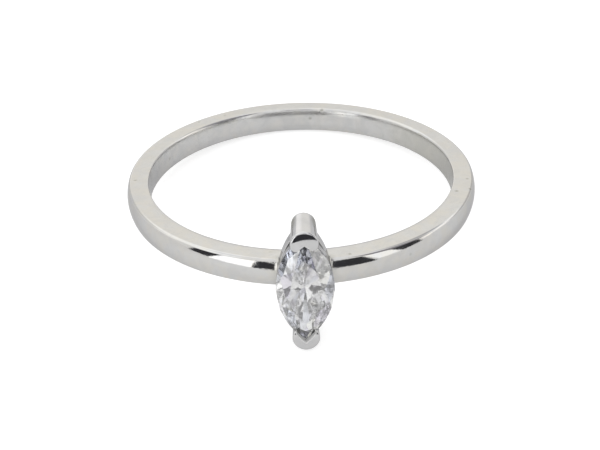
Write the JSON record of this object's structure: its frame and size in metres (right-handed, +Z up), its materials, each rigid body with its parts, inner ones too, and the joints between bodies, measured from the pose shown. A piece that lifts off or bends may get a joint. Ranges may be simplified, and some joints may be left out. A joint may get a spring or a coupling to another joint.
{
  "type": "diamond solitaire ring",
  "caption": "Plain domed finger ring with a raised claw head that holds a marquise-cut clear stone, its points along the finger. It lies on its side.",
  "frame": {"origin": "middle of the resting ring's box, on the surface that the ring lies on", "axes": "+Z up from the surface, +Y from the head to the back of the band, +X across the ring to the right of someone who faces the head. The finger's axis leans 7.6 degrees from +Z towards +Y."},
  "size_m": [0.0196, 0.0216, 0.0069],
  "materials": {
    "white_gold": "polished white gold, lightly worn",
    "diamond": "faceted and polished, clear"
  },
  "bodies": {
    "root": {"band_with_setting": "white_gold", "marquise_diamond": "diamond"}
  },
  "joints": []
}
